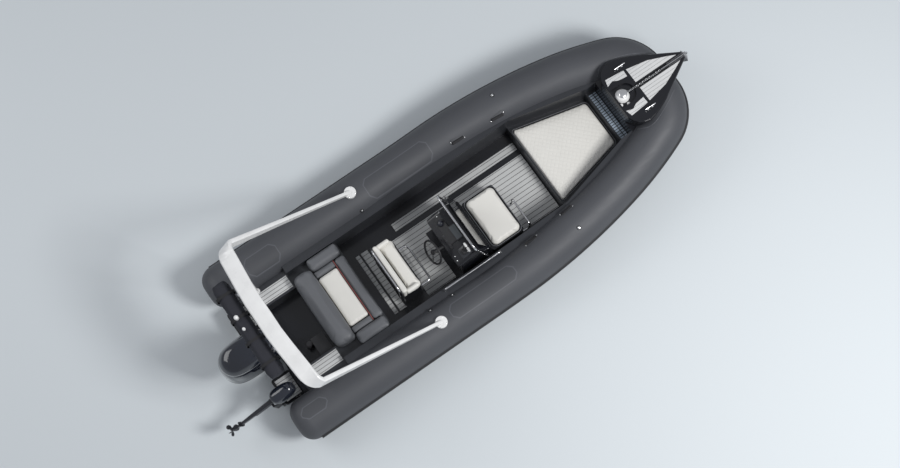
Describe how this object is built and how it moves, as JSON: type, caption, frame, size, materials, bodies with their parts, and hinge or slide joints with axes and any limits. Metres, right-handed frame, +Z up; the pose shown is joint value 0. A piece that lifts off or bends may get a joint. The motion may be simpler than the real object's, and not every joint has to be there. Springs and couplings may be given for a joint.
{
  "type": "inflatable rib boat",
  "caption": "Rigid inflatable boat: grey tubes round a black V hull, console with seats, sunpad, arch with folded canopy, outboard and stowed auxiliary motor.",
  "frame": {"origin": "on the waterline, on the centreline, at the tubes' aft tips", "axes": "+X towards the bow, +Y to port, +Z up"},
  "size_m": [8.1458, 2.8926, 2.9756],
  "materials": {
    "tube_fabric": "matt",
    "strake_rubber": "matt",
    "hull_gelcoat": "gloss",
    "liner_gelcoat": "gloss",
    "cushion_vinyl": "satin",
    "deck_foam": "matt",
    "steel": "polished",
    "steel_wheel": "brushed",
    "arch_paint": "gloss",
    "boot_cloth": "woven",
    "tinted_screen": "clear",
    "motor_paint": "gloss",
    "motor_metal": "satin",
    "black_trim": "satin",
    "propeller_metal": "satin",
    "lamp": "gloss"
  },
  "bodies": {
    "boat": {"anchor": "steel", "anchor_chain": "steel", "arch": "arch_paint", "arch_supports": "arch_paint", "bench_backrest": "cushion_vinyl", "bench_bolsters": "cushion_vinyl", "bench_box": "liner_gelcoat", "bench_seat": "cushion_vinyl", "boot_brackets": "steel", "bow_cleats": "steel", "bow_roller": "steel", "bow_step": "liner_gelcoat", "canopy_boot": "boot_cloth", "coaming_port": "liner_gelcoat", "coaming_starboard": "liner_gelcoat", "collar_bow": "tube_fabric", "collar_port": "tube_fabric", "collar_starboard": "tube_fabric", "console": "hull_gelcoat", "deck_mats": "deck_foam", "front_rail": "steel", "front_seat_box": "hull_gelcoat", "front_seat_cushion": "cushion_vinyl", "helm_seat_back": "cushion_vinyl", "helm_seat_box": "hull_gelcoat", "helm_seat_cushion": "cushion_vinyl", "helm_seat_rails": "steel", "hull": "hull_gelcoat", "hull_bow": "hull_gelcoat", "instrument_panel": "black_trim", "kicker_bracket": "motor_metal", "motor_clamp": "motor_metal", "nose": "hull_gelcoat", "nose_pads": "deck_foam", "rub_strake": "strake_rubber", "side_rail": "steel", "steering_column": "black_trim", "stern_deck_port": "liner_gelcoat", "stern_deck_starboard": "liner_gelcoat", "stern_light": "lamp", "stern_platforms": "hull_gelcoat", "sunpad_box": "liner_gelcoat", "sunpad_cushion": "cushion_vinyl", "throttle": "black_trim", "transom": "hull_gelcoat", "tube_handles": "black_trim", "well_gear": "black_trim", "windlass": "steel", "windscreen": "tinted_screen", "windscreen_hoop": "steel"},
    "motor_mount_swivel": {"motor_swivel": "motor_metal"},
    "motor": {"motor_leg": "motor_metal", "motor_cowl": "motor_paint"},
    "motor_screw": {"motor_propeller": "propeller_metal"},
    "kicker_mount_swivel": {"kicker_swivel": "motor_metal"},
    "kicker": {"kicker_leg": "motor_metal", "kicker_cowl": "motor_paint"},
    "kicker_screw": {"kicker_propeller": "propeller_metal"},
    "helm_wheel": {"steering_wheel": "steel_wheel"}
  },
  "joints": [
    {"name": "motor_tilt", "type": "hinge", "parent": "boat", "child": "motor_mount_swivel", "pos_m": [0.265, 0, 0.385], "axis": [0, 1, 0], "range_deg": [0, 60]},
    {"name": "motor_steer", "type": "hinge", "parent": "motor_mount_swivel", "child": "motor", "pos_m": [0.19, 0, 0.385], "axis": [0, 0, 1], "range_deg": [-30, 30]},
    {"name": "motor_spin", "type": "hinge", "parent": "motor", "child": "motor_screw", "pos_m": [-0.2, 0, -0.56], "axis": [1, 0, 0], "continuous": true},
    {"name": "kicker_tilt", "type": "hinge", "parent": "boat", "child": "kicker_mount_swivel", "pos_m": [-0.1, -0.655, 0.445], "axis": [0, 1, 0], "range_deg": [-75, 0]},
    {"name": "kicker_steer", "type": "hinge", "parent": "kicker_mount_swivel", "child": "kicker", "pos_m": [-0.11165, -0.655, 0.48847], "axis": [0.9659, 0, 0.2588], "range_deg": [-35, 35]},
    {"name": "kicker_spin", "type": "hinge", "parent": "kicker", "child": "kicker_screw", "pos_m": [-0.71907, -0.655, 0.47582], "axis": [0.2588, 0, -0.9659], "continuous": true},
    {"name": "wheel_turn", "type": "hinge", "parent": "boat", "child": "helm_wheel", "pos_m": [2.835, -0.29, 0.95], "axis": [-0.9272, 0, 0.3746], "range_deg": [-540, 540]}
  ],
  "couplings": [
    {"joint": "wheel_turn", "follows": "motor_steer", "ratio": 18}
  ]
}
